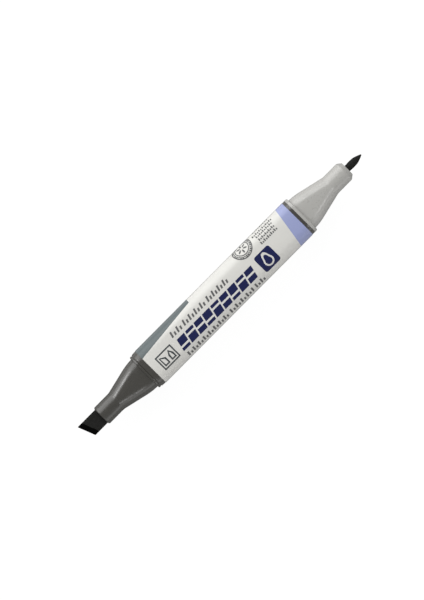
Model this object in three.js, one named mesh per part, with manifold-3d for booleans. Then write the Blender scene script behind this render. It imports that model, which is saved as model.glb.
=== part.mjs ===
// Twin-tip alcohol marker with its caps off, in millimetres.
// +X runs from the chisel nib to the fine nib, and +Z points up through the printed face.
// The marker lies on one flat of its barrel at z = 0, with its middle over the origin.
import * as THREE from 'three';
import { mergeVertices } from 'three/addons/utils/BufferGeometryUtils.js';
import Module from 'manifold-3d';

const wasm = await Module();
wasm.setup();

// Driving dimensions.
const ACROSS_FLATS = 16; // over the printed film
const AXIS_HEIGHT = ACROSS_FLATS / 2;
const FILM_THICKNESS = 0.1;
const FILM_CORNER = 4.7; // outer corner radius of the film
const BARREL_WALL = 1.2;
const GAP = 0.05; // between pieces that fit in one another
const OVERRUN = 1; // how far a cutter runs past the face it opens
const ARC_STEPS = 6; // straight steps in each rounded corner
const ROUND_STEPS = 32; // straight steps round a full circle
const BEND_STEPS = 5; // straight steps in each soft bend of a nose

// Stations along the barrel.
const BARREL_SPAN = { start: -39.0, end: 39.4 };
const FILM_SPAN = { start: -37.0, end: 38.3 };
const RESERVOIR_SPAN = { start: -36.9, end: 36.9 };

// Round pieces on the axis.
const RESERVOIR_RADIUS = 5.45;
const WRAP_THICKNESS = 0.15;
const SLEEVE_RADIUS = 4.2;
const SLEEVE_COLLAR_RADIUS = 5.55;
const SLEEVE_COLLAR_LENGTH = 1.2;

const RIB = { count: 8, width: 1.0 };
const PLUG_LENGTH = 10;
const VENT = { count: 4, width: 0.9, depth: 0.5 };

// Each end of the marker is described with its nib pointing towards -X.
const CHISEL_END = {
  front: -61.9,
  coneStart: -54.3,
  coneEnd: -42.9,
  flangeFront: -39.9,
  flangeBack: BARREL_SPAN.start,
  roundHalf: 4.0,
  coneEndHalf: 6.68,
  stubHalf: 6.82,
  flangeHalf: 7.6,
  rimLength: 0.3,
  rimHalf: 3.8,
  sleeveFront: -47.9,
};
const FINE_END = {
  front: -63.7,
  coneStart: -55.2,
  coneEnd: -43.3,
  flangeFront: -40.6,
  flangeBack: -BARREL_SPAN.end,
  roundHalf: 4.0,
  coneEndHalf: 6.8,
  stubHalf: 6.92,
  flangeHalf: 7.87,
  rimLength: 1.55,
  rimHalf: 2.66,
  sleeveFront: -48.3,
};
const NOSE_CORNER = 4.0; // the cone's corner radius stays that of its round front
const FLANGE_BEVEL = 0.25;
const BEND_REACH = 2.2; // length of each soft bend, either side of its corner

const CHISEL_NIB = {
  tip: -70.8,
  tail: -31.0,
  halfWidth: 3.3,
  halfThickness: 1.7,
  edgeRadius: 0.6,
  slant: THREE.MathUtils.degToRad(21.1),
  bevelLength: 1.75,
  bevelHalf: 0.65,
  tailTaper: 3,
  tailHalfWidth: 1.8,
};
const FINE_NIB = {
  tip: -70.9,
  tail: -31.5,
  shaftRadius: 1.35,
  bellyRadius: 1.43,
  bellyStart: -65.0,
  ogiveStart: -67.3,
  tipRadius: 0.3,
  tailTaper: 1.5,
  tailRadius: 0.7,
};

// Colours and finishes.
const FINISHES = {
  darkPlastic: { color: 0x464543, roughness: 0.45, metalness: 0 },
  lightPlastic: { color: 0xb4b3ae, roughness: 0.45, metalness: 0 },
  printedFilm: { color: 0xe4e3de, roughness: 0.35, metalness: 0 },
  inkedFelt: { color: 0x1c1b1e, roughness: 0.9, metalness: 0 },
  inkedFibre: { color: 0x3d3a42, roughness: 0.95, metalness: 0 },
  clearWrap: { color: 0xd9dcdf, roughness: 0.25, metalness: 0 },
  sleevePlastic: { color: 0xcfcdc6, roughness: 0.5, metalness: 0 },
};

// Shape tools.

// Maps a shape drawn in (y, z) and extruded along the third axis onto the marker's X axis.
const ALONG_X = new THREE.Matrix4().makeBasis(
  new THREE.Vector3(0, 1, 0),
  new THREE.Vector3(0, 0, 1),
  new THREE.Vector3(1, 0, 0),
);

// Maps a lathe's own axis, Y, onto the marker's X axis.
const LATHE_TO_X = new THREE.Matrix4().makeBasis(
  new THREE.Vector3(0, 1, 0),
  new THREE.Vector3(1, 0, 0),
  new THREE.Vector3(0, 0, -1),
);

// Points, anticlockwise, of a rectangle with rounded corners.
function roundedOutline(halfWidth, halfHeight, corner) {
  const radius = Math.min(corner, Math.min(halfWidth, halfHeight) - GAP);
  const points = [];
  for (let quarter = 0; quarter < 4; quarter += 1) {
    const sideways = quarter === 0 || quarter === 3 ? 1 : -1;
    const upward = quarter < 2 ? 1 : -1;
    for (let step = 0; step <= ARC_STEPS; step += 1) {
      const angle = ((quarter + step / ARC_STEPS) * Math.PI) / 2;
      points.push(
        new THREE.Vector2(
          sideways * (halfWidth - radius) + radius * Math.cos(angle),
          upward * (halfHeight - radius) + radius * Math.sin(angle),
        ),
      );
    }
  }
  return points;
}

function squareOutline(half, corner) {
  return roundedOutline(half, half, corner);
}

// A straight bar along X from one outline, with an optional hole of another outline.
function barAlongX(outline, start, end, hole) {
  const shape = new THREE.Shape(outline);
  if (hole) {
    shape.holes.push(new THREE.Path([...hole].reverse()));
  }
  const geometry = new THREE.ExtrudeGeometry(shape, {
    depth: end - start,
    bevelEnabled: false,
  });
  return geometry.applyMatrix4(ALONG_X).translate(start, 0, 0);
}

// A body along X through outlines that all have the same number of points.
function loftAlongX(stations) {
  const count = stations[0].outline.length;
  const positions = [];
  for (const { x, outline } of stations) {
    for (const point of outline) {
      positions.push(x, point.x, point.y);
    }
  }
  const indices = [];
  for (let station = 0; station < stations.length - 1; station += 1) {
    for (let i = 0; i < count; i += 1) {
      const near = station * count + i;
      const nearNext = station * count + ((i + 1) % count);
      indices.push(near, nearNext, nearNext + count);
      indices.push(near, nearNext + count, near + count);
    }
  }
  const last = (stations.length - 1) * count;
  for (let i = 1; i < count - 1; i += 1) {
    indices.push(0, i + 1, i);
    indices.push(last, last + i, last + i + 1);
  }
  const geometry = new THREE.BufferGeometry();
  geometry.setAttribute('position', new THREE.Float32BufferAttribute(positions, 3));
  geometry.setIndex(indices);
  return geometry;
}

// A turned body about X, from points of (radius, x).
function turnedAboutX(profile) {
  const points = profile.map(([radius, x]) => new THREE.Vector2(radius, x));
  return new THREE.LatheGeometry(points, ROUND_STEPS).applyMatrix4(LATHE_TO_X);
}

function rodAlongX(radius, start, end) {
  return turnedAboutX([
    [0, start],
    [radius, start],
    [radius, end],
    [0, end],
  ]);
}

// Booleans.

function solidOf(geometry) {
  const bare = new THREE.BufferGeometry();
  bare.setAttribute('position', geometry.getAttribute('position').clone());
  bare.setIndex(geometry.index);
  const merged = mergeVertices(bare, 1e-4);
  return new wasm.Manifold(
    new wasm.Mesh({
      numProp: 3,
      vertProperties: merged.getAttribute('position').array,
      triVerts: new Uint32Array(merged.index.array),
    }),
  );
}

function geometryOf(solid) {
  const mesh = solid.getMesh();
  const geometry = new THREE.BufferGeometry();
  geometry.setAttribute('position', new THREE.BufferAttribute(mesh.vertProperties, 3));
  geometry.setIndex(new THREE.BufferAttribute(mesh.triVerts, 1));
  return geometry;
}

function cut(body, cutters) {
  return geometryOf(
    cutters.reduce((rest, cutter) => rest.subtract(solidOf(cutter)), solidOf(body)),
  );
}

function join(bodies) {
  return geometryOf(bodies.map(solidOf).reduce((whole, next) => whole.add(next)));
}

function common(bodies) {
  return geometryOf(bodies.map(solidOf).reduce((whole, next) => whole.intersect(next)));
}

// Copies of a box standing off the axis, spread evenly round it.
function spreadRoundX(count, firstAngle, makeBox) {
  return Array.from({ length: count }, (_, i) =>
    makeBox().rotateX(firstAngle + (i * 2 * Math.PI) / count),
  );
}

// Pieces of the body.

const FILM_HALF = ACROSS_FLATS / 2;
const BARREL_HALF = FILM_HALF - FILM_THICKNESS - GAP;
const BARREL_CORNER = FILM_CORNER - FILM_THICKNESS - GAP;
const BORE_HALF = BARREL_HALF - BARREL_WALL;
const BORE_CORNER = BARREL_CORNER - BARREL_WALL;
const WRAP_RADIUS = RESERVOIR_RADIUS + GAP + WRAP_THICKNESS;
const HOLDER_RADIUS = WRAP_RADIUS + 2 * GAP; // what the ribs and the nose plugs leave for the wrap

// Rounded-square tube with ribs along its middle that hold the reservoir off the wall.
function barrel() {
  const tube = barAlongX(
    squareOutline(BARREL_HALF, BARREL_CORNER),
    BARREL_SPAN.start,
    BARREL_SPAN.end,
    squareOutline(BORE_HALF, BORE_CORNER),
  );
  const ribStart = BARREL_SPAN.start + PLUG_LENGTH + 2 * GAP;
  const ribEnd = BARREL_SPAN.end - PLUG_LENGTH - 2 * GAP;
  const flatRibTop = BORE_HALF + BARREL_WALL / 2;
  const cornerRibTop =
    Math.SQRT2 * (BORE_HALF - BORE_CORNER) + BORE_CORNER + BARREL_WALL / 2;
  const ribs = [
    [0, flatRibTop],
    [Math.PI / 4, cornerRibTop],
  ].flatMap(([firstAngle, top]) =>
    spreadRoundX(RIB.count / 2, firstAngle, () =>
      new THREE.BoxGeometry(ribEnd - ribStart, RIB.width, top - HOLDER_RADIUS).translate(
        (ribStart + ribEnd) / 2,
        0,
        (top + HOLDER_RADIUS) / 2,
      ),
    ),
  );
  return join([tube, ...ribs]);
}

function labelFilm() {
  return barAlongX(
    squareOutline(FILM_HALF, FILM_CORNER),
    FILM_SPAN.start,
    FILM_SPAN.end,
    squareOutline(FILM_HALF - FILM_THICKNESS, FILM_CORNER - FILM_THICKNESS),
  );
}

// Points that round off the corner between two straight runs of a profile.
function softBend(before, corner, after) {
  const from = corner.clone().add(before.clone().sub(corner).setLength(BEND_REACH));
  const to = corner.clone().add(after.clone().sub(corner).setLength(BEND_REACH));
  return new THREE.QuadraticBezierCurve(from, corner, to).getPoints(BEND_STEPS);
}

// The nose's outside, from its front rim to the end of the plug inside the barrel.
function noseBody(end) {
  const rimBack = new THREE.Vector2(end.front + end.rimLength, end.roundHalf);
  const coneStart = new THREE.Vector2(end.coneStart, end.roundHalf);
  const coneEnd = new THREE.Vector2(end.coneEnd, end.coneEndHalf);
  const stubEnd = new THREE.Vector2(end.flangeFront, end.stubHalf);
  const profile = [
    new THREE.Vector2(end.front, end.rimHalf),
    rimBack,
    ...softBend(rimBack, coneStart, coneEnd),
    ...softBend(coneStart, coneEnd, stubEnd),
    stubEnd,
  ];
  const flangeCorner = FILM_CORNER - (FILM_HALF - end.flangeHalf);
  const cone = profile.map(({ x, y }) => ({ x, outline: squareOutline(y, NOSE_CORNER) }));
  const flange = [
    [end.flangeFront, end.flangeHalf - FLANGE_BEVEL, flangeCorner - FLANGE_BEVEL],
    [end.flangeFront + FLANGE_BEVEL, end.flangeHalf, flangeCorner],
    [end.flangeBack, end.flangeHalf, flangeCorner],
    [end.flangeBack, BORE_HALF - GAP, BORE_CORNER - GAP],
    [end.flangeBack + PLUG_LENGTH, BORE_HALF - GAP, BORE_CORNER - GAP],
  ].map(([x, half, corner]) => ({ x, outline: squareOutline(half, corner) }));
  return loftAlongX([...cone, ...flange]);
}

// Stations of the sleeve's collar, which seats in the nose's plug.
function collarSpan() {
  const end = RESERVOIR_SPAN.start - 2 * GAP;
  return { start: end - SLEEVE_COLLAR_LENGTH, end };
}

// A moulded nose: a passage for the nib, a bore for its sleeve, and a socket for the reservoir's end.
function nose(end, nibPassage) {
  const plugEnd = end.flangeBack + PLUG_LENGTH + OVERRUN;
  const ventLength = PLUG_LENGTH + OVERRUN;
  const ventTop = BORE_HALF - GAP;
  const vents = spreadRoundX(VENT.count, 0, () =>
    new THREE.BoxGeometry(ventLength, VENT.width, 2 * VENT.depth).translate(
      end.flangeBack + GAP + ventLength / 2,
      0,
      ventTop,
    ),
  );
  return cut(noseBody(end), [
    nibPassage(end.front - OVERRUN, end.sleeveFront),
    rodAlongX(SLEEVE_RADIUS + GAP, end.sleeveFront - GAP, plugEnd),
    rodAlongX(HOLDER_RADIUS, collarSpan().start - GAP, plugEnd),
    ...vents,
  ]);
}

// The sleeve that grips a nib inside its nose, with channels along it for air.
function nibSleeve(end, nibPassage) {
  const collar = collarSpan();
  const body = turnedAboutX([
    [0, end.sleeveFront],
    [SLEEVE_RADIUS, end.sleeveFront],
    [SLEEVE_RADIUS, collar.start],
    [SLEEVE_COLLAR_RADIUS, collar.start],
    [SLEEVE_COLLAR_RADIUS, collar.end],
    [0, collar.end],
  ]);
  const ventLength = collar.end - end.sleeveFront + 2 * OVERRUN;
  const vents = spreadRoundX(VENT.count, Math.PI / VENT.count, () =>
    new THREE.BoxGeometry(ventLength, VENT.width, VENT.depth).translate(
      end.sleeveFront - OVERRUN + ventLength / 2,
      0,
      SLEEVE_RADIUS - VENT.depth / 2 + GAP,
    ),
  );
  return cut(body, [
    nibPassage(end.sleeveFront - OVERRUN, collar.end + OVERRUN),
    ...vents,
  ]);
}

// Nibs and their passages.

function chiselPassage(start, end) {
  const { halfWidth, halfThickness, edgeRadius } = CHISEL_NIB;
  const outline = roundedOutline(halfWidth + GAP, halfThickness + GAP, edgeRadius + GAP);
  return barAlongX(outline, start, end);
}

function finePassage(start, end) {
  return rodAlongX(FINE_NIB.bellyRadius + GAP, start, end);
}

// A felt slab whose writing edge is slanted in plan and bevelled on both faces.
function chiselNib() {
  const nib = CHISEL_NIB;
  const slab = barAlongX(
    roundedOutline(nib.halfWidth, nib.halfThickness, nib.edgeRadius),
    nib.tip - OVERRUN,
    nib.tail,
  );
  const reach = nib.tail - nib.tip + 4 * nib.halfWidth;
  const wedge = new THREE.ExtrudeGeometry(
    new THREE.Shape([
      new THREE.Vector2(0, -nib.bevelHalf),
      new THREE.Vector2(nib.bevelLength, -nib.halfThickness),
      new THREE.Vector2(reach, -nib.halfThickness),
      new THREE.Vector2(reach, nib.halfThickness),
      new THREE.Vector2(nib.bevelLength, nib.halfThickness),
      new THREE.Vector2(0, nib.bevelHalf),
    ]),
    { depth: 2 * reach, bevelEnabled: false },
  );
  wedge.translate(0, 0, -reach).rotateX(Math.PI / 2);
  wedge.rotateZ(nib.slant).translate(nib.tip, nib.halfWidth, 0);
  const plan = new THREE.ExtrudeGeometry(
    new THREE.Shape([
      new THREE.Vector2(nib.tip - OVERRUN, -nib.halfWidth),
      new THREE.Vector2(nib.tail - nib.tailTaper, -nib.halfWidth),
      new THREE.Vector2(nib.tail, -nib.tailHalfWidth),
      new THREE.Vector2(nib.tail, nib.tailHalfWidth),
      new THREE.Vector2(nib.tail - nib.tailTaper, nib.halfWidth),
      new THREE.Vector2(nib.tip - OVERRUN, nib.halfWidth),
    ]),
    { depth: 2 * nib.halfThickness, bevelEnabled: false },
  ).translate(0, 0, -nib.halfThickness);
  return common([slab, wedge, plan]);
}

// A felt rod that swells a little in front of its nose and narrows to a rounded point.
function fineNib() {
  const nib = FINE_NIB;
  const point = new THREE.QuadraticBezierCurve(
    new THREE.Vector2(nib.tipRadius, nib.tip + nib.tipRadius / 2),
    new THREE.Vector2(nib.bellyRadius, (nib.tip + nib.ogiveStart) / 2),
    new THREE.Vector2(nib.bellyRadius, nib.ogiveStart),
  ).getPoints(2 * BEND_STEPS);
  return turnedAboutX([
    [0, nib.tip],
    ...point.map(({ x, y }) => [x, y]),
    [nib.bellyRadius, nib.bellyStart],
    [nib.shaftRadius, FINE_END.front],
    [nib.shaftRadius, nib.tail - nib.tailTaper],
    [nib.tailRadius, nib.tail],
    [0, nib.tail],
  ]);
}

// Ink supply.

// Fibre rod with a socket in each end, where a nib's tail is pushed in.
function inkReservoir() {
  const rod = rodAlongX(RESERVOIR_RADIUS, RESERVOIR_SPAN.start, RESERVOIR_SPAN.end);
  const chiselSocket = chiselPassage(RESERVOIR_SPAN.start - OVERRUN, CHISEL_NIB.tail + GAP);
  const fineSocket = finePassage(-RESERVOIR_SPAN.end - OVERRUN, FINE_NIB.tail + GAP);
  return cut(rod, [chiselSocket, fineSocket.rotateZ(Math.PI)]);
}

function reservoirWrap() {
  const inner = RESERVOIR_RADIUS + GAP;
  return turnedAboutX([
    [inner, RESERVOIR_SPAN.start],
    [WRAP_RADIUS, RESERVOIR_SPAN.start],
    [WRAP_RADIUS, RESERVOIR_SPAN.end],
    [inner, RESERVOIR_SPAN.end],
    [inner, RESERVOIR_SPAN.start],
  ]);
}

// Assembly.

function named(name, geometry, finish) {
  const mesh = new THREE.Mesh(geometry, new THREE.MeshStandardMaterial(FINISHES[finish]));
  mesh.name = name;
  return mesh;
}

const chiselEnd = new THREE.Group();
chiselEnd.add(
  named('chisel_nose', nose(CHISEL_END, chiselPassage), 'darkPlastic'),
  named('chisel_nib_sleeve', nibSleeve(CHISEL_END, chiselPassage), 'sleevePlastic'),
  named('chisel_nib', chiselNib(), 'inkedFelt'),
);

const fineEnd = new THREE.Group();
fineEnd.rotation.z = Math.PI;
fineEnd.add(
  named('fine_nose', nose(FINE_END, finePassage), 'lightPlastic'),
  named('fine_nib_sleeve', nibSleeve(FINE_END, finePassage), 'sleevePlastic'),
  named('fine_nib', fineNib(), 'inkedFelt'),
);

const marker = new THREE.Group();
marker.position.z = AXIS_HEIGHT;
marker.add(
  named('barrel', barrel(), 'darkPlastic'),
  named('label_film', labelFilm(), 'printedFilm'),
  named('ink_reservoir', inkReservoir(), 'inkedFibre'),
  named('reservoir_wrap', reservoirWrap(), 'clearWrap'),
  chiselEnd,
  fineEnd,
);

export default marker;
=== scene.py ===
import math

import bmesh
import bpy
from mathutils import Matrix, Vector

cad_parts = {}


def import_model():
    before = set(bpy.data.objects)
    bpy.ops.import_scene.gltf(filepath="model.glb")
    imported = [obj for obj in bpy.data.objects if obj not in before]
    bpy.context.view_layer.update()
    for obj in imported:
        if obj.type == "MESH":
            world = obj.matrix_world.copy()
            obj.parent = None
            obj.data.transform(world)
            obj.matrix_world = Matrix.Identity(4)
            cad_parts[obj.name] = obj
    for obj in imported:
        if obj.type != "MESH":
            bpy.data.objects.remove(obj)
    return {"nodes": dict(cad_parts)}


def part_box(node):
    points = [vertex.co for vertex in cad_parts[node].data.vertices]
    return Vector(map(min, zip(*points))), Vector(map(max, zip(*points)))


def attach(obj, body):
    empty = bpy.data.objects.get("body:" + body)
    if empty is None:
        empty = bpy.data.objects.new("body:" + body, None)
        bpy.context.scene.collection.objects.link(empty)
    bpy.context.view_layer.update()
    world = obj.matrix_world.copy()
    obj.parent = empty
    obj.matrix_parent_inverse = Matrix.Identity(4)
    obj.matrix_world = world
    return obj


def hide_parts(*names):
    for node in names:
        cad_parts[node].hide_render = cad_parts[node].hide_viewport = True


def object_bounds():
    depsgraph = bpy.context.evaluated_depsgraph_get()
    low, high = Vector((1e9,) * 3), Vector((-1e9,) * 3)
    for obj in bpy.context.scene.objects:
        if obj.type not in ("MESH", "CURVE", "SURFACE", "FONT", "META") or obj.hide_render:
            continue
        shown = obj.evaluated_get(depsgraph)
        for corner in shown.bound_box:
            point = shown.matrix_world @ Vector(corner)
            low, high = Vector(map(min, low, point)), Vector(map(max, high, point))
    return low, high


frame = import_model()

# The looks of a twin-tip marker with its caps off. The frame is in metres; shapes here are
# drawn in millimetres, with +X from the chisel nib to the fine nib and +Z up through the print.

CAD_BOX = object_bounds()

MM = 0.001


def box_in_mm(node):
    """A CAD node's lowest and highest corner, in millimetres."""
    low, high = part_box(node)
    return low / MM, high / MM


# Sizes that come from the frame.
FILM_LOW, FILM_HIGH = box_in_mm("label_film")
BARREL_LOW, BARREL_HIGH = box_in_mm("barrel")
CHISEL_NOSE_LOW, CHISEL_NOSE_HIGH = box_in_mm("chisel_nose")
FINE_NOSE_LOW, FINE_NOSE_HIGH = box_in_mm("fine_nose")
CHISEL_NIB_LOW, CHISEL_NIB_HIGH = box_in_mm("chisel_nib")
FINE_NIB_LOW, FINE_NIB_HIGH = box_in_mm("fine_nib")
CHISEL_SLEEVE_LOW, CHISEL_SLEEVE_HIGH = box_in_mm("chisel_nib_sleeve")
FINE_SLEEVE_LOW, FINE_SLEEVE_HIGH = box_in_mm("fine_nib_sleeve")
WRAP_LOW, WRAP_HIGH = box_in_mm("reservoir_wrap")

AXIS_HEIGHT = (FILM_LOW.z + FILM_HIGH.z) / 2
GAP = 0.05  # clearance between pieces that fit in one another

# Shape of the rounded-square sections. Their faces bulge a little, as drawn plastic does.
CORNER_STEPS = 12  # straight steps in each rounded corner
FACE_STEPS = 6  # straight steps across each face
LEAST_FLAT = 0.05  # half the flat that is left on a round section
BARREL_CROWN = 50.0  # radius of the bulge of the barrel's faces
NOSE_CROWN = 30.0
BEND_STEPS = 7  # straight steps in each soft bend of a nose
WELD = 1e-5  # points closer than this are one point
SHARP_ANGLE = math.radians(30)  # edges that turn more than this stay crisp

# The printed film, its print and the lap where its two edges meet.
INK_THICKNESS = 0.02
INK_SINK = 0.004  # how far the underside of the ink lies inside the film
INK_MARGIN = 0.005  # between the top of the ink and the CAD film's face
FILM_HALF = (FILM_HIGH.y - FILM_LOW.y) / 2 - INK_THICKNESS - INK_MARGIN
FILM_CORNER = 4.67
FILM_EDGE = 0.05  # rounding of the film's cut ends
FILM_DEPTH = 0.07  # how far the cut ends reach down towards the barrel
FILM_START = FILM_LOW.x + 0.2  # its ends lie a little inside the CAD film's
FILM_END = FILM_HIGH.x - 0.15
LAP = {"start": -23.5, "end": -21.5, "height": 0.015, "ramp": 0.03}  # distances round the film
# The lavender band's edge: its x where y is 0, and how far it leans along X per millimetre of Y.
BAND = {"start": 33.5, "lean": 1.3 / 8}
# The grey wedge's edge: its y at the film's start, its rise per millimetre of X, and its last x.
WEDGE = {"start": 4.05, "rise": 2.5 / 26.5, "end": -10.6}

# The barrel.
BARREL_HALF = (BARREL_HIGH.y - BARREL_LOW.y) / 2
BARREL_WALL = 1.2
BORE_HALF = BARREL_HALF - BARREL_WALL
BARREL_CORNER = 4.55
BORE_CORNER = BARREL_CORNER - BARREL_WALL

COLLAR = 1.2  # length of the collar at the back of each nib's sleeve

# Each nose: distances along it from the marker's middle, half widths, and small roundings. Its
# stub is the end of the cone, from which the flange steps up.
CHISEL_END = {
    "side": -1,
    "front": -CHISEL_NOSE_LOW.x,
    "cone_start": 54.3,
    "cone_end": 42.9,
    "flange_front": 39.9,
    "flange_back": -BARREL_LOW.x,
    "plug_end": -CHISEL_NOSE_HIGH.x,
    "round_half": 4.0,
    "cone_half": 6.68,
    "stub_half": 6.82,
    "flange_half": 7.6,
    "flange_bevel": 0.4,
    "back_bevel": 0.3,
    "rim_length": 0.35,
    "rim_half": 3.66,
    "sleeve_front": -CHISEL_SLEEVE_LOW.x,
    "collar_front": -CHISEL_SLEEVE_HIGH.x + COLLAR,
}
FINE_END = {
    "side": 1,
    "front": FINE_NOSE_HIGH.x,
    "cone_start": 55.2,
    "cone_end": 43.3,
    "flange_front": 40.6,
    "flange_back": BARREL_HIGH.x,
    "plug_end": FINE_NOSE_LOW.x,
    "round_half": 4.0,
    "cone_half": 6.8,
    "stub_half": 6.92,
    "flange_half": 7.87,
    "flange_bevel": 0.5,
    "back_bevel": 0.06,
    "rim_length": 1.55,
    "rim_half": 2.8,
    "sleeve_front": FINE_SLEEVE_HIGH.x,
    "collar_front": FINE_SLEEVE_LOW.x + COLLAR,
}
NOSE_CORNER = 4.0
FLANGE_CORNER = 4.3
CONE_START_REACH = 0.7  # how far the soft bend at the cone's start reaches to each side
CONE_END_REACH = 2.2
RIM_FRONT_REACH = 0.12
RIM_BACK_REACH = 0.15
FLANGE_FOOT_REACH = 0.12
FLANGE_STEP = 0.2  # sections wider than the stub by more than this have the flange's corners
FRONT_FACE = 0.5  # width of the flat ring inside the rim
PASSAGE_FLARE = {"depth": 0.1, "widening": 1.03}  # where a nib leaves its nose
SLEEVE_BORE = 4.25
SOCKET_RADIUS = (WRAP_HIGH.y - WRAP_LOW.y) / 2 + 2 * GAP  # the reservoir's end sits in it

# Nibs.
CHISEL_NIB_HALF = (CHISEL_NIB_HIGH.y - CHISEL_NIB_LOW.y) / 2
CHISEL_NIB_HALF_THICK = (CHISEL_NIB_HIGH.z - CHISEL_NIB_LOW.z) / 2
CHISEL_SLANT = math.radians(21.1)  # from square to the slanted writing edge
CHISEL_SLANT_REACH = 18.0  # how far back the slab's rings still lean a little
CHISEL_BEVEL = 2.15  # depth of the cut faces behind the writing edge
CHISEL_EDGE = 0.6  # rounding of the slab's long edges
FINE_NIB_RADIUS = (FINE_NIB_HIGH.y - FINE_NIB_LOW.y) / 2


# Mesh tools.


def piece_from(bm, name, body, materials):
    """A mesh object in metres, made from shapes in millimetres about the marker's axis."""
    bmesh.ops.remove_doubles(bm, verts=bm.verts, dist=WELD)
    bmesh.ops.recalc_face_normals(bm, faces=bm.faces)
    bm.transform(Matrix.Translation((0, 0, AXIS_HEIGHT)))
    bm.transform(Matrix.Scale(MM, 4))
    mesh = bpy.data.meshes.new(name)
    bm.to_mesh(mesh)
    bm.free()
    mesh.shade_smooth()
    mesh.set_sharp_from_angle(angle=SHARP_ANGLE)
    for material in materials:
        mesh.materials.append(material)
    piece = bpy.data.objects.new(name, mesh)
    bpy.context.scene.collection.objects.link(piece)
    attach(piece, body)
    return piece


def loft(rings, closed):
    """A mesh through rings of points that all have the same count. A closed loft joins its
    last ring to its first, as a tube's wall does; an open one gets a cap at each end."""
    bm = bmesh.new()
    rows = [[bm.verts.new(point) for point in ring] for ring in rings]
    pairs = list(zip(rows, rows[1:]))
    if closed:
        pairs.append((rows[-1], rows[0]))
    for near, far in pairs:
        count = len(near)
        for i in range(count):
            j = (i + 1) % count
            bm.faces.new((near[i], near[j], far[j], far[i]))
    if not closed:
        bm.faces.new(rows[0])
        bm.faces.new(rows[-1])
    return bm


def arc_points(centre, radius, first, last, steps):
    """Points on an arc, both ends included. Angles are in radians."""
    angles = [first + (last - first) * step / steps for step in range(steps + 1)]
    return [centre + radius * Vector((math.cos(a), math.sin(a))) for a in angles]


def rounded_section(half_width, half_height, corner):
    """Points (y, z), anticlockwise, of a rectangle with rounded corners and flat faces."""
    radius = min(corner, half_width - LEAST_FLAT, half_height - LEAST_FLAT)
    arcs = []
    for quarter in range(4):
        sideways = 1 if quarter in (0, 3) else -1
        upward = 1 if quarter < 2 else -1
        centre = Vector((sideways * (half_width - radius), upward * (half_height - radius)))
        first = quarter * math.pi / 2
        arcs.append(arc_points(centre, radius, first, first + math.pi / 2, CORNER_STEPS))
    points = []
    for arc, following in zip(arcs, arcs[1:] + arcs[:1]):
        flat = following[0] - arc[-1]
        points += arc
        points += [arc[-1] + flat * step / FACE_STEPS for step in range(1, FACE_STEPS)]
    return points


def round_section(radius):
    return rounded_section(radius, radius, radius)


def crown_shape(half, corner, crown):
    """For a square with bulging faces and round corners: how far its faces lean over where the
    corners start, in radians, and how far the corners' centres lie from its two middle planes."""
    lean = math.acos((crown - half) / (crown - corner) / math.sqrt(2)) - math.pi / 4
    return lean, (crown - corner) * math.sin(lean)


def crowned_section(half, corner, crown):
    """Points (y, z), anticlockwise, of a square with bulging faces and round corners."""
    radius = min(corner, half - LEAST_FLAT)
    lean, centre = crown_shape(half, radius, crown)
    right = math.pi / 2
    middle = Vector((centre, centre))
    corner_arc = arc_points(middle, radius, lean, right - lean, CORNER_STEPS)
    far_below = Vector((0, half - crown))
    face_arc = arc_points(far_below, crown, right - lean, right + lean, FACE_STEPS)
    points = []
    for quarter in range(4):
        turn = Matrix.Rotation(quarter * right, 2)
        points += [turn @ point for point in corner_arc + face_arc[1:-1]]
    return points


def ring_at(x, section):
    """A section set across the marker at x."""
    return [Vector((x, point.x, point.y)) for point in section]


def bend(before, corner, after, reach):
    """Points on a soft curve that rounds off a corner of a profile."""
    start = corner + (before - corner).normalized() * reach
    end = corner + (after - corner).normalized() * reach
    curve = []
    for step in range(BEND_STEPS + 1):
        t = step / BEND_STEPS
        curve.append(start * (1 - t) ** 2 + corner * 2 * t * (1 - t) + end * t**2)
    return curve


# Material tools.


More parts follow.
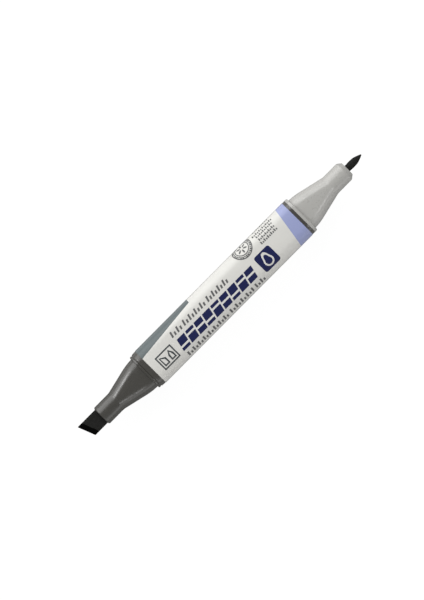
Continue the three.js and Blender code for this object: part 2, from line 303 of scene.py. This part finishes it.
class Shader:
    """A procedural material under construction, round one Principled BSDF."""

    def __init__(self, name):
        self.material = bpy.data.materials.new(name)
        self.material.use_nodes = True
        self.tree = self.material.node_tree
        self.bsdf = self.tree.nodes["Principled BSDF"]
        self.place = self.add("ShaderNodeTexCoord").outputs["Object"]

    def add(self, kind, inputs=None, **settings):
        """A new node. Its inputs are linked where a socket is given and set otherwise."""
        node = self.tree.nodes.new(kind)
        for key, value in settings.items():
            setattr(node, key, value)
        for key, value in (inputs or {}).items():
            if isinstance(value, bpy.types.NodeSocket):
                self.tree.links.new(value, node.inputs[key])
            else:
                node.inputs[key].default_value = value
        return node

    def shine(self, level):
        """How strongly the surface mirrors what faces it."""
        self.bsdf.inputs["Specular IOR Level"].default_value = level

    def varnish(self, roughness, ior):
        """A thin clear coat, which shows most where the surface turns away."""
        self.bsdf.inputs["Coat Weight"].default_value = 1.0
        self.bsdf.inputs["Coat Roughness"].default_value = roughness
        self.bsdf.inputs["Coat IOR"].default_value = ior

    def drive(self, socket, source):
        """Links a node's output to one of the surface's inputs."""
        self.tree.links.new(source, self.bsdf.inputs[socket])

    def stretched(self, x):
        """Object coordinates scaled by a factor along the marker. Below 1 draws features out."""
        node = self.add("ShaderNodeMapping", {"Vector": self.place, "Scale": (x, 1, 1)})
        return node.outputs["Vector"]

    def noise(self, size, detail=3.0, vector=None):
        """Noise with features of about this many millimetres."""
        node = self.add(
            "ShaderNodeTexNoise",
            {"Vector": vector or self.place, "Scale": 1 / (size * MM), "Detail": detail},
        )
        return node.outputs["Fac"]

    def between(self, amount, low, high):
        """A number that runs from low to high as amount goes from 0.3 to 0.7."""
        node = self.add(
            "ShaderNodeMapRange",
            {"Value": amount, "From Min": 0.3, "From Max": 0.7, "To Min": low, "To Max": high},
        )
        return node.outputs["Result"]

    def shades(self, amount, dark, light):
        """A colour between two shades."""
        node = self.add("ShaderNodeMix", data_type="RGBA")
        self.tree.links.new(self.between(amount, 0, 1), node.inputs["Factor"])
        node.inputs["A"].default_value = (*dark, 1)
        node.inputs["B"].default_value = (*light, 1)
        return node.outputs["Result"]

    def bump(self, height, depth, strength=1.0, under=None):
        """Relief of this many millimetres, on top of an earlier relief if one is given."""
        inputs = {"Height": height, "Distance": depth * MM, "Strength": strength}
        node = self.add("ShaderNodeBump", inputs)
        if under is not None:
            self.tree.links.new(under, node.inputs["Normal"])
        return node.outputs["Normal"]


def moulded_plastic(name, dark, light, roughness, shine):
    """Satin moulded plastic: a fine spark-eroded grain, and a very slight flow in its colour."""
    shader = Shader(name)
    flow = shader.noise(9.0, 2.0, shader.stretched(x=0.35))
    grain = shader.noise(0.16, 2.0)
    ripple = shader.noise(3.5, 2.0)
    spread = 0.05
    shader.drive("Base Color", shader.shades(flow, dark, light))
    polish = shader.between(shader.noise(1.1), roughness - spread, roughness + spread)
    shader.drive("Roughness", polish)
    waves = shader.bump(ripple, 0.004, 0.5)
    shader.drive("Normal", shader.bump(grain, 0.0004, 0.5, waves))
    shader.shine(shine)
    return shader.material


def film(name, dark, light):
    """Printed, varnished shrink film: nearly smooth, with a faint pull along the barrel."""
    shader = Shader(name)
    mottle = shader.noise(5.0, 3.0, shader.stretched(x=0.5))
    pull = shader.noise(2.2, 2.0, shader.stretched(x=0.15))
    shader.drive("Base Color", shader.shades(mottle, dark, light))
    shader.drive("Roughness", shader.between(shader.noise(1.6), 0.38, 0.46))
    shader.drive("Normal", shader.bump(pull, 0.006, 0.5))
    shader.shine(0.35)
    shader.varnish(roughness=0.2, ior=1.25)
    return shader.material


def ink(name, dark, light):
    """Flat printing ink, a little uneven where it was laid down."""
    shader = Shader(name)
    shader.drive("Base Color", shader.shades(shader.noise(0.35, 2.0), dark, light))
    shader.drive("Roughness", shader.between(shader.noise(0.8), 0.42, 0.52))
    shader.drive("Normal", shader.bump(shader.noise(0.12, 2.0), 0.002, 0.4))
    shader.shine(0.2)
    return shader.material


def felt(name, dark, light, depth=0.03, shine=0.12):
    """Pressed felt soaked with ink: short fibres that run along the nib."""
    shader = Shader(name)
    fibres = shader.noise(0.14, 4.0, shader.stretched(x=0.12))
    fluff = shader.noise(0.3, 5.0)
    shader.drive("Base Color", shader.shades(fibres, dark, light))
    shader.drive("Roughness", shader.between(fluff, 0.7, 0.95))
    coarse = shader.bump(fluff, depth, 0.5)
    shader.drive("Normal", shader.bump(fibres, depth, 0.7, coarse))
    shader.shine(shine)
    return shader.material


def fibre_rod(name, dark, light):
    """The reservoir's bundled fibres, drawn out along its length."""
    shader = Shader(name)
    strands = shader.noise(0.25, 5.0, shader.stretched(x=0.04))
    shader.drive("Base Color", shader.shades(strands, dark, light))
    shader.drive("Roughness", shader.between(strands, 0.75, 0.95))
    shader.drive("Normal", shader.bump(strands, 0.05, 0.8))
    shader.shine(0.2)
    return shader.material


def clear_film(name, dark, light):
    """The reservoir's thin wrap: glossy, milky film with a few long creases."""
    shader = Shader(name)
    creases = shader.noise(1.2, 3.0, shader.stretched(x=0.08))
    shader.drive("Base Color", shader.shades(creases, dark, light))
    shader.drive("Roughness", shader.between(creases, 0.16, 0.3))
    shader.drive("Normal", shader.bump(creases, 0.03, 0.6))
    shader.shine(0.5)
    return shader.material


DARK_PLASTIC = moulded_plastic(
    "dark_plastic", (0.0205, 0.0187, 0.0142), (0.0235, 0.0217, 0.017), roughness=0.3, shine=0.78
)
LIGHT_PLASTIC = moulded_plastic(
    "light_plastic", (0.304, 0.3, 0.284), (0.322, 0.318, 0.302), roughness=0.3, shine=0.75
)
FILM_WHITE = film("film_white", (0.494, 0.489, 0.464), (0.513, 0.508, 0.483))
FILM_LAVENDER = film("film_lavender", (0.22, 0.247, 0.42), (0.232, 0.261, 0.439))
FILM_GREY = film("film_grey", (0.0566, 0.0744, 0.0775), (0.0614, 0.08, 0.0832))
INK_NAVY = ink("ink_navy", (0.003, 0.006, 0.046), (0.005, 0.009, 0.058))
INK_GREY = ink("ink_grey", (0.075, 0.076, 0.077), (0.095, 0.096, 0.096))
INK_DARK = ink("ink_dark", (0.032, 0.038, 0.042), (0.042, 0.048, 0.052))
FELT_FACE = felt("felt_face", (0.006, 0.006, 0.0055), (0.013, 0.013, 0.012))
# The felt of the chisel nib's bevels: the same felt made nearly black, a painted shade for the
# bevels, which face away from the light.
FELT_BEVEL_PAINTED_SHADE = felt(
    "felt_bevel_painted_shade", (0.0008, 0.0008, 0.0008), (0.002, 0.002, 0.002), depth=0.02, shine=0.02
)
RESERVOIR_FIBRE = fibre_rod("reservoir_fibre", (0.02, 0.018, 0.024), (0.06, 0.055, 0.07))
RESERVOIR_WRAP = clear_film("reservoir_wrap_film", (0.5, 0.51, 0.52), (0.62, 0.63, 0.64))
SLEEVE_PLASTIC = moulded_plastic(
    "sleeve_plastic", (0.52, 0.51, 0.47), (0.58, 0.57, 0.53), roughness=0.45, shine=0.5
)


# Barrel and film.


def barrel_shell():
    """The barrel's tube. Its two ends show beside the film, each with a small rounded edge."""
    low, high = BARREL_LOW.x, BARREL_HIGH.x
    # The x and the half width of each ring.
    outside = [
        (low, BARREL_HALF - 0.5),
        (low + 0.1, BARREL_HALF - 0.38),
        (low + 0.38, BARREL_HALF - 0.14),
        (low + 0.55, BARREL_HALF - 0.09),
        (low + 1.6, BARREL_HALF - 0.02),
        (low + 2.4, BARREL_HALF),
        (high - 1.6, BARREL_HALF),
        (high - 0.12, BARREL_HALF),
        (high - 0.03, BARREL_HALF - 0.04),
        (high, BARREL_HALF - 0.12),
    ]
    rings = [
        ring_at(x, crowned_section(half, BARREL_CORNER - (BARREL_HALF - half), BARREL_CROWN))
        for x, half in outside
    ]
    bore = rounded_section(BORE_HALF, BORE_HALF, BORE_CORNER)
    rings += [ring_at(x, bore) for x in (high, low)]
    piece = piece_from(
        loft(rings, closed=True), "barrel_shell", "body", [DARK_PLASTIC]
    )
    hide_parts("barrel")


def film_arcs():
    """The arcs of the film's section from the middle of the printed face, round +Y, to the
    middle of the underside: centre, radius, and the tilt of its normal at each end."""
    lean, centre = crown_shape(FILM_HALF, FILM_CORNER, BARREL_CROWN)
    right = math.pi / 2
    bulge = FILM_HALF - BARREL_CROWN
    return (
        (Vector((0, bulge)), BARREL_CROWN, 0, lean),
        (Vector((centre, centre)), FILM_CORNER, lean, right - lean),
        (Vector((bulge, 0)), BARREL_CROWN, right - lean, right + lean),
        (Vector((centre, -centre)), FILM_CORNER, right + lean, 2 * right - lean),
        (Vector((0, -bulge)), BARREL_CROWN, 2 * right - lean, 2 * right),
    )


FILM_ARCS = film_arcs()


def on_film(x, across, height=0.0):
    """The point at a height over the film, where across is measured round the film from the
    middle of the printed face, positive towards +Y."""
    run = abs(across)
    for centre, radius, first, last in FILM_ARCS:
        length = radius * (last - first)
        if run <= length:
            break
        run -= length
    tilt = min(first + run / radius, last)
    y, z = centre + (radius + height) * Vector((math.sin(tilt), math.cos(tilt)))
    return Vector((x, math.copysign(y, across), z))


def film_stations():
    """Distances round the film, on its +Y side, at which its section has a point."""
    stations = [0.0]
    for _, radius, first, last in FILM_ARCS:
        steps = CORNER_STEPS if radius == FILM_CORNER else FACE_STEPS // 2
        length = radius * (last - first)
        start = stations[-1]
        stations += [start + length * step / steps for step in range(1, steps + 1)]
    return stations


def cut_across(bm, point, normal, faces=None):
    """Splits a mesh along a plane, or only the faces that are given."""
    chosen = list(bm.faces) if faces is None else faces
    edges = {edge for face in chosen for edge in face.edges}
    verts = {vert for face in chosen for vert in face.verts}
    bmesh.ops.bisect_plane(
        bm,
        geom=[*chosen, *edges, *verts],
        dist=WELD,
        plane_co=point,
        plane_no=normal,
    )


def label_skin():
    """The printed film round the barrel, with its lavender band, its grey wedge and its lap."""
    one_side = film_stations()
    lap_edges = [LAP["start"] - LAP["ramp"], LAP["start"], LAP["end"], LAP["end"] + LAP["ramp"]]
    stations = sorted([*one_side, *(-run for run in one_side[1:-1]), *lap_edges])

    def section(x, height):
        points = []
        for across in stations:
            lapped = LAP["start"] <= across <= LAP["end"]
            points.append(on_film(x, across, height + (LAP["height"] if lapped else 0)))
        return points

    rings = [
        section(FILM_START, -FILM_DEPTH),
        section(FILM_START, -FILM_EDGE),
        section(FILM_START + FILM_EDGE, 0),
        section(FILM_END - FILM_EDGE, 0),
        section(FILM_END, -FILM_EDGE),
        section(FILM_END, -FILM_DEPTH),
    ]
    bm = loft(rings, closed=True)

    band_point = Vector((BAND["start"], 0, 0))
    band_normal = Vector((1, -BAND["lean"], 0))
    wedge_end = WEDGE["end"]
    wedge_point = Vector((FILM_START, WEDGE["start"], 0))
    wedge_normal = Vector((-WEDGE["rise"], 1, 0))
    cut_across(bm, band_point, band_normal)
    cut_across(bm, Vector((wedge_end, 0, 0)), Vector((1, 0, 0)))
    before_end = [f for f in bm.faces if f.calc_center_median().x < wedge_end]
    cut_across(bm, wedge_point, wedge_normal, before_end)
    for face in bm.faces:
        centre = face.calc_center_median()
        if (centre - band_point).dot(band_normal) > 0:
            face.material_index = 1
        elif centre.x < wedge_end and (centre - wedge_point).dot(wedge_normal) > 0:
            face.material_index = 2
    materials = [FILM_WHITE, FILM_LAVENDER, FILM_GREY]
    piece = piece_from(bm, "label_skin", "body", materials)
    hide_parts("label_film")


# Print. Each shape is drawn flat in (x, across) and then laid on the film.


def flat_face(bm, loop):
    """A face through a loop of points (x, across)."""
    face = bm.faces.new([bm.verts.new((x, across, 0)) for x, across in loop])
    face.normal_update()
    return face


def outlined(bm, loop, line):
    """A closed line along the inside of a loop."""
    face = flat_face(bm, loop)
    bmesh.ops.inset_individual(bm, faces=[face], thickness=line)
    bmesh.ops.delete(bm, geom=[face], context="FACES_ONLY")


def between_loops(bm, outer, inner):
    """The area between two loops with the same count of points."""
    far = [bm.verts.new((x, across, 0)) for x, across in outer]
    near = [bm.verts.new((x, across, 0)) for x, across in inner]
    for i in range(len(far)):
        j = (i + 1) % len(far)
        bm.faces.new((far[i], far[j], near[j], near[i]))


def full_turn(count):
    """Angles spread evenly round a circle."""
    return [2 * math.pi * i / count for i in range(count)]


def circle(centre, radius):
    sides = 48
    return [
        (centre[0] + radius * math.cos(angle), centre[1] + radius * math.sin(angle))
        for angle in full_turn(sides)
    ]


def slanted_bar(x, width, low, high, lean):
    """A bar between two heights. Its sides lean over by this much for each millimetre of rise."""
    return [
        (x + lean * low, low),
        (x + width + lean * low, low),
        (x + width + lean * high, high),
        (x + lean * high, high),
    ]


def lay_on_film(bm, name, material):
    """Turns flat shapes into closed, very thin films of ink that follow the label."""
    for run in film_stations():
        for across in (-run, run):
            cut_across(bm, Vector((0, across, 0)), Vector((0, 1, 0)))
    made = bmesh.ops.extrude_face_region(bm, geom=list(bm.faces))
    top = [item for item in made["geom"] if isinstance(item, bmesh.types.BMVert)]
    bmesh.ops.translate(bm, verts=top, vec=(0, 0, INK_THICKNESS))
    for vert in bm.verts:
        vert.co = on_film(vert.co.x, vert.co.y, vert.co.z - INK_SINK)
    piece_from(bm, name, "body", [material])


def tip_badge():
    """A framed box with the outlines of a chisel tip and a fine tip."""
    bm = bmesh.new()
    left, right, low, high = -33.75, -26.15, -4.91, 0.95
    line = 0.74
    outlined(bm, [(left, low), (right, low), (right, high), (left, high)], line)

    foot = low + 1.0
    top = high - 0.95
    chisel_left = left + 1.0
    chisel_right = left + 3.35
    chisel_shoulder = top - 1.3
    outlined(
        bm,
        [
            (chisel_left, foot),
            (chisel_right, foot),
            (chisel_right, chisel_shoulder),
            (chisel_left, top),
        ],
        line,
    )

    fine_left = right - 3.25
    fine_right = right - 1.0
    fine_peak = right - 2.12
    fine_shoulder = top - 1.8
    outlined(
        bm,
        [
            (fine_left, foot),
            (fine_right, foot),
            (fine_right, fine_shoulder),
            (fine_peak, top),
            (fine_left, fine_shoulder),
        ],
        line,
    )
    lay_on_film(bm, "print_tip_badge", INK_DARK)


def title_blocks():
    """A broad row of slanted navy blocks, each split by a slit at one of three heights."""
    bm = bmesh.new()
    start, end, low, high = -23.3, 15.0, -4.6, 0.13
    count = 9
    lean = 0.22
    slit = 0.75
    lowest_slit, slit_step = 0.32, 0.18  # shares of the row's height
    pitch = (end - start) / count
    width = pitch * 0.86  # the rest is the space between two blocks
    for i in range(count):
        x = start + i * pitch
        middle = low + (high - low) * (lowest_slit + slit_step * (i * 2 % 3))
        flat_face(bm, slanted_bar(x, width, low, middle - slit / 2, lean))
        flat_face(bm, slanted_bar(x, width, middle + slit / 2, high, lean))
    lay_on_film(bm, "print_title_blocks", INK_NAVY)


def tick_row(bm, span, heights, pitch, stroke, lean=0.0):
    """A row of ticks of changing height that stands for a word and spells nothing."""
    start, end = span
    low, high = heights
    shortening = 0.4  # the share of its height that every second tick lacks
    count = max(2, round((end - start) / pitch))
    for i in range(count):
        x = start + (end - start - stroke) * i / (count - 1)
        lacking = (high - low) * (shortening if i % 2 else 0)
        flat_face(bm, slanted_bar(x, stroke, low, high - lacking, lean))


def tick_lines():
    """Two long grey lines, above and below the title."""
    bm = bmesh.new()
    pitch, stroke = 1.3, 0.74
    for span in ((-24.3, -19.2), (-18.1, -7.3), (-6.1, 4.2)):
        tick_row(bm, span, (1.55, 3.75), pitch, stroke, lean=0.25)
    for span in ((-23.9, -3.7), (-2.4, 9.2), (10.4, 15.0)):
        tick_row(bm, span, (-8.0, -5.8), pitch, stroke)
    lay_on_film(bm, "print_tick_lines", INK_GREY)


def small_print():
    """Five short lines of small ticks beside the seal."""
    bm = bmesh.new()
    pitch, stroke = 0.8, 0.52
    for span, heights in (
        ((22.6, 30.6), (2.5, 3.6)),
        ((22.9, 30.5), (4.0, 5.0)),
        ((22.8, 30.6), (5.5, 6.4)),
        ((21.8, 31.4), (6.8, 7.8)),
        ((22.9, 30.3), (8.8, 9.8)),
    ):
        tick_row(bm, span, heights, pitch, stroke)
    lay_on_film(bm, "print_small_lines", INK_GREY)


def rounded_square_by_angle(centre, half_x, half_y, corner, angle):
    """Where a ray from the centre leaves a rectangle with rounded corners, found by halving."""
    direction = Vector((math.cos(angle), math.sin(angle)))
    halvings = 40
    low, high = 0.0, 2 * max(half_x, half_y)
    for _ in range(halvings):
        middle = (low + high) / 2
        point = direction * middle
        over_x = max(abs(point.x) - half_x + corner, 0)
        over_y = max(abs(point.y) - half_y + corner, 0)
        if Vector((over_x, over_y)).length > corner:
            high = middle
        else:
            low = middle
    return (centre[0] + direction.x * low, centre[1] + direction.y * low)


def droplet_by_angle(centre, radius, tip, angle):
    """Where a ray from the centre leaves a drop with a round foot and a pointed top."""
    sharpness = 7
    upward = math.sin(angle)
    reach = radius
    if upward > 0:
        reach = radius + (tip - radius) * upward**sharpness
    return (centre[0] + reach * math.cos(angle), centre[1] + reach * math.sin(angle))


def drop_emblem():
    """A navy rounded square with the outline of a drop left open in it."""
    bm = bmesh.new()
    centre = (20.35, -2.5)
    half_x, half_y, corner = 3.7, 3.6, 1.0
    drop_sink = 0.75  # the drop's round foot lies below the square's middle
    drop_centre = (centre[0], centre[1] - drop_sink)
    outer_radius, outer_tip = 2.0, 3.7
    inner_radius, inner_tip = 1.35, 2.6
    angles = full_turn(96)
    square = [rounded_square_by_angle(centre, half_x, half_y, corner, a) for a in angles]
    drop = [droplet_by_angle(drop_centre, outer_radius, outer_tip, a) for a in angles]
    between_loops(bm, square, drop)
    flat_face(bm, [droplet_by_angle(drop_centre, inner_radius, inner_tip, a) for a in angles])
    lay_on_film(bm, "print_drop_emblem", INK_NAVY)


def ring_seal():
    """A plain round seal: two rings with short rays between them, and petals in the middle."""
    bm = bmesh.new()
    centre = Vector((16.3, 7.15))

    def flat_shape(points):
        flat_face(bm, [centre + point for point in points])

    for radius, line in ((4.35, 0.42), (3.05, 0.36)):
        outlined(bm, circle(centre, radius), line)

    rays = 30
    ray_half, ray_start, ray_end, short_ray_end = 0.28, 3.3, 3.95, 3.7
    for i, angle in enumerate(full_turn(rays)):
        along = Vector((math.cos(angle), math.sin(angle)))
        side = Vector((-along.y, along.x)) * ray_half
        inner = along * ray_start
        outer = along * (ray_end if i % 3 else short_ray_end)
        flat_shape([inner - side, outer - side, outer + side, inner + side])

    petals = 6
    petal_sides = 12
    petal_middle, petal_half_length, petal_half_width = 1.4, 0.85, 0.36
    for i in range(petals):
        angle = 2 * math.pi * (i + 0.5) / petals
        along = Vector((math.cos(angle), math.sin(angle)))
        side = Vector((-along.y, along.x))
        flat_shape(
            along * (petal_middle + petal_half_length * math.cos(turn))
            + side * (petal_half_width * math.sin(turn))
            for turn in full_turn(petal_sides)
        )
    lay_on_film(bm, "print_ring_seal", INK_GREY)


# Noses.


def nose_shell(end, name, node, material, passage):
    """A moulded nose. Its wall runs from the front rim over the cone and the flange to the end
    of the plug, and back through the socket, the sleeve's bore and the nib's passage."""

    def ring(distance, section):
        return ring_at(end["side"] * distance, section)

    # Points of the outside: distance from the marker's middle, and half width.
    front, flange_front, flange_back = end["front"], end["flange_front"], end["flange_back"]
    bevel, back_bevel = end["flange_bevel"], end["back_bevel"]
    face = Vector((front, end["rim_half"] - FRONT_FACE))
    rim_front = Vector((front, end["rim_half"]))
    rim_back = Vector((front - end["rim_length"], end["round_half"]))
    cone_start = Vector((end["cone_start"], end["round_half"]))
    cone_end = Vector((end["cone_end"], end["cone_half"]))
    flange_foot = Vector((flange_front, end["stub_half"]))
    flange_top = Vector((flange_front, end["flange_half"]))
    flange_rear = Vector((flange_back, end["flange_half"]))
    outside = [
        face,
        *bend(face, rim_front, rim_back, RIM_FRONT_REACH),
        *bend(rim_front, rim_back, cone_start, RIM_BACK_REACH),
        *bend(rim_back, cone_start, cone_end, CONE_START_REACH),
        *bend(cone_start, cone_end, flange_foot, CONE_END_REACH),
        *bend(cone_end, flange_foot, flange_top, FLANGE_FOOT_REACH),
        *bend(flange_foot, flange_top, flange_rear, bevel),
        Vector((flange_back + back_bevel, end["flange_half"])),
        Vector((flange_back, end["flange_half"] - back_bevel / 2)),
    ]
    rings = []
    for point in outside:
        on_flange = point.y > end["stub_half"] + FLANGE_STEP
        corner = FLANGE_CORNER - (end["flange_half"] - point.y) if on_flange else NOSE_CORNER
        rings.append(ring(point.x, crowned_section(point.y, corner, NOSE_CROWN)))

    plug = rounded_section(BORE_HALF - GAP, BORE_HALF - GAP, BORE_CORNER - GAP)
    socket = round_section(SOCKET_RADIUS)
    bore = round_section(SLEEVE_BORE)
    flared = [point * PASSAGE_FLARE["widening"] for point in passage]
    rings += [
        ring(flange_back, plug),
        ring(end["plug_end"], plug),
        ring(end["plug_end"], socket),
        ring(end["collar_front"] + GAP, socket),
        ring(end["collar_front"] + GAP, bore),
        ring(end["sleeve_front"] + GAP, bore),
        ring(end["sleeve_front"] + GAP, passage),
        ring(front - PASSAGE_FLARE["depth"], passage),
        ring(front, flared),
    ]
    piece = piece_from(loft(rings, closed=True), name, "body", [material])
    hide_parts(node)


# Nibs.


def chisel_nib_felt():
    """The felt slab. Its rings lie along the slanted writing edge at the front and square to
    the nib at the tail, so the edge's bevels are true planes."""
    tip, tail = CHISEL_NIB_LOW.x, CHISEL_NIB_HIGH.x
    half, thick = CHISEL_NIB_HALF, CHISEL_NIB_HALF_THICK
    # Distance from the tip, half thickness and half width of each ring.
    profile = [
        (0.0, 0.42, half - 0.12),
        (0.05, 0.56, half - 0.04),
        (0.16, 0.68, half),
        (2.1, thick - 0.06, half),
        (2.25, thick - 0.01, half),
        (2.45, thick, half),
    ]
    steps = 40  # along the straight part, where the slant of the rings fades out
    body_start, body_end = 2.9, (tail - tip) - 3.0
    for step in range(steps + 1):
        profile.append((body_start + (body_end - body_start) * step / steps, thick, half))
    profile += [(tail - tip - 0.15, thick, 1.9), (tail - tip, thick - 0.15, 1.75)]
    slope = math.tan(CHISEL_SLANT)
    rings = []
    for distance, ring_thick, ring_half in profile:
        slanted = max(0.0, 1 - distance / CHISEL_SLANT_REACH)
        edge = min(CHISEL_EDGE, ring_thick - LEAST_FLAT)
        ring = []
        for point in rounded_section(ring_half, ring_thick, edge):
            shift = (half - point.x) * slope * slanted
            ring.append(Vector((tip + distance + shift, point.x, point.y)))
        rings.append(ring)
    bm = loft(rings, closed=False)
    # Faces on the bevels behind the writing edge get the nearly black felt, which paints the
    # bevels' shade.
    for face in bm.faces:
        centre = face.calc_center_median()
        behind = centre.x - tip - (half - centre.y) * slope
        if behind < CHISEL_BEVEL:
            face.material_index = 1
    piece = piece_from(
        bm, "chisel_nib_felt", "chisel_nib_body", [FELT_FACE, FELT_BEVEL_PAINTED_SHADE]
    )
    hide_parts("chisel_nib")


def fine_nib_felt():
    """The felt rod: a shaft, a slight belly in front of the nose, and a rounded point."""
    tip, tail = FINE_NIB_HIGH.x, FINE_NIB_LOW.x
    shaft = FINE_NIB_RADIUS - 0.08
    # The x and the radius of each ring.
    profile = [
        (tail, shaft - 0.75),
        (tail + 0.1, shaft - 0.65),
        (tail + 1.5, shaft - 0.02),
        (tail + 1.8, shaft),
        (tip - 7.2, shaft),
        (tip - 6.6, shaft + 0.02),
        (tip - 5.7, FINE_NIB_RADIUS - 0.01),
        (tip - 5.0, FINE_NIB_RADIUS),
        (tip - 4.3, FINE_NIB_RADIUS - 0.01),
        (tip - 3.6, FINE_NIB_RADIUS - 0.045),
        (tip - 3.0, FINE_NIB_RADIUS - 0.13),
        (tip - 2.5, FINE_NIB_RADIUS - 0.26),
        (tip - 1.9, FINE_NIB_RADIUS - 0.465),
        (tip - 1.3, FINE_NIB_RADIUS - 0.695),
        (tip - 0.8, FINE_NIB_RADIUS - 0.89),
        (tip - 0.4, FINE_NIB_RADIUS - 1.06),
        (tip - 0.15, FINE_NIB_RADIUS - 1.2),
        (tip - 0.03, FINE_NIB_RADIUS - 1.31),
        (tip, FINE_NIB_RADIUS - 1.39),
    ]
    sides = 40
    rings = [
        ring_at(x, [radius * Vector((math.cos(a), math.sin(a))) for a in full_turn(sides)])
        for x, radius in profile
    ]
    bm = loft(rings, closed=False)
    piece = piece_from(bm, "fine_nib_felt", "fine_nib_body", [FELT_FACE])
    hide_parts("fine_nib")


# Inside pieces keep their CAD shape and get a better material.


def finish_inside_pieces():
    finishes = {
        "ink_reservoir": RESERVOIR_FIBRE,
        "reservoir_wrap": RESERVOIR_WRAP,
        "chisel_nib_sleeve": SLEEVE_PLASTIC,
        "fine_nib_sleeve": SLEEVE_PLASTIC,
    }
    for name, material in finishes.items():
        for slot in frame["nodes"][name].material_slots:
            slot.material = material


# Studio.

CENTRE = (CAD_BOX[0] + CAD_BOX[1]) / 2
ROLL = math.radians(45.21)  # the camera's turn about the vertical
IMAGE_RIGHT = Vector((math.cos(ROLL), -math.sin(ROLL), 0))
IMAGE_UP = Vector((math.sin(ROLL), math.cos(ROLL), 0))


def camera():
    """Looks straight down on the printed face, turned so that the fine nib is at top right."""
    view_height = 0.2161
    distance = 2.5
    shift_right, shift_up = -0.00383, -0.00213
    offset = IMAGE_RIGHT * shift_right + IMAGE_UP * shift_up
    data = bpy.data.cameras.new("camera")
    data.sensor_width = 36
    data.lens = data.sensor_width * distance / view_height
    data.clip_start = 0.01
    data.clip_end = 20
    view = bpy.data.objects.new("camera", data)
    view.location = Vector((CENTRE.x, CENTRE.y, AXIS_HEIGHT * MM)) + offset
    view.location.z += distance
    view.rotation_euler = (0, 0, -ROLL)
    bpy.context.scene.collection.objects.link(view)
    bpy.context.scene.camera = view


def softbox(name, azimuth, elevation, half_wide, half_high, radiance):
    """An even, oval light, sized by the half angles it fills as seen from the object. Azimuth
    is measured from +X towards +Y."""
    distance = 1.6
    width = 2 * distance * math.tan(math.radians(half_wide))
    height = 2 * distance * math.tan(math.radians(half_high))
    data = bpy.data.lights.new(name, "AREA")
    data.shape = "ELLIPSE"
    data.size = width
    data.size_y = height
    data.energy = radiance * math.pi * math.pi * width * height / 4
    light = bpy.data.objects.new(name, data)
    flat = math.cos(math.radians(elevation))
    direction = Vector(
        (
            flat * math.cos(math.radians(azimuth)),
            flat * math.sin(math.radians(azimuth)),
            math.sin(math.radians(elevation)),
        )
    )
    light.location = CENTRE + direction * distance
    light.rotation_euler = direction.to_track_quat("Z", "Y").to_euler()
    light.visible_camera = False
    bpy.context.scene.collection.objects.link(light)


def table_card(name, near, far, radiance):
    """An even light that lies on the table beside the object and shines up, as a white card
    does there. It reaches from near to far along Y, both in metres."""
    length, lift = 0.5, 0.0003
    data = bpy.data.lights.new(name, "AREA")
    data.shape = "RECTANGLE"
    data.size = length
    data.size_y = abs(far - near)
    data.energy = radiance * math.pi * data.size * data.size_y
    light = bpy.data.objects.new(name, data)
    light.location = (CENTRE.x, (near + far) / 2, lift)
    light.rotation_euler = (math.pi, 0, 0)
    light.visible_camera = False
    bpy.context.scene.collection.objects.link(light)


def lights():
    """Soft boxes round the object, brightest on the side that faces the image's upper left."""
    for name, azimuth, elevation, half_wide, half_high, radiance in (
        ("wall", 90, 20, 55, 20, 2.4),
        ("wall_top", 90, 50, 35, 10, 1.9),
        ("key_left", 128, 34, 8, 7, 11.0),
        ("key_right", 52, 44, 7, 6, 8.0),
        ("back_wall", 270, 16, 50, 14, 1.1),
        ("fill_left", 228, 38, 9, 8, 3.4),
        ("fill_right", 312, 44, 9, 7, 5.2),
    ):
        softbox(name, azimuth, elevation, half_wide, half_high, radiance)
    table_card("card", near=0.018, far=0.2, radiance=0.65)
    table_card("back_card", near=-0.2, far=-0.018, radiance=0.25)


def grey(value):
    return (value, value, value)


def stage_plane(name, height, albedo, glow):
    """A broad, plain, matt plane."""
    half_size = 8.0
    patches = 400.0  # millimetres across the faint patches in its tone
    bm = bmesh.new()
    bmesh.ops.create_grid(bm, x_segments=8, y_segments=8, size=half_size)
    mesh = bpy.data.meshes.new(name)
    bm.to_mesh(mesh)
    bm.free()
    plane = bpy.data.objects.new(name, mesh)
    plane.location.z = height
    bpy.context.scene.collection.objects.link(plane)
    shader = Shader(name)
    tone = shader.shades(shader.noise(patches), grey(albedo * 0.98), grey(albedo))
    shader.drive("Base Color", tone)
    shader.shine(0.0)
    shader.bsdf.inputs["Roughness"].default_value = 1.0
    shader.bsdf.inputs["Emission Color"].default_value = (1, 1, 1, 1)
    shader.bsdf.inputs["Emission Strength"].default_value = glow
    mesh.materials.append(shader.material)
    return plane


def floor():
    """A plain pale floor that the camera sees, over a greyer one that lights the object from
    below, as a table under a photograph with a cleared background does."""
    seen = stage_plane("floor", height=0, albedo=0.1, glow=0.93)
    seen.visible_diffuse = False
    seen.visible_glossy = False
    seen.visible_transmission = False
    seen.visible_shadow = False
    bounce = stage_plane("floor_bounce", height=-0.002, albedo=0.32, glow=0.0)
    bounce.visible_camera = False


def world():
    """Even white light from everywhere."""
    strength = 0.56
    data = bpy.data.worlds.new("studio")
    data.use_nodes = True
    background = data.node_tree.nodes["Background"]
    background.inputs["Color"].default_value = (1, 1, 1, 1)
    background.inputs["Strength"].default_value = strength
    bpy.context.scene.world = data
    bpy.context.scene.view_settings.view_transform = "Standard"


camera()
barrel_shell()
label_skin()
tip_badge()
title_blocks()
tick_lines()
small_print()
drop_emblem()
ring_seal()
nose_shell(
    CHISEL_END,
    "chisel_nose_shell",
    "chisel_nose",
    DARK_PLASTIC,
    rounded_section(CHISEL_NIB_HALF + GAP, CHISEL_NIB_HALF_THICK + GAP, CHISEL_EDGE + GAP),
)
nose_shell(
    FINE_END,
    "fine_nose_shell",
    "fine_nose",
    LIGHT_PLASTIC,
    round_section(FINE_NIB_RADIUS + GAP),
)
chisel_nib_felt()
fine_nib_felt()
finish_inside_pieces()
lights()
floor()
world()
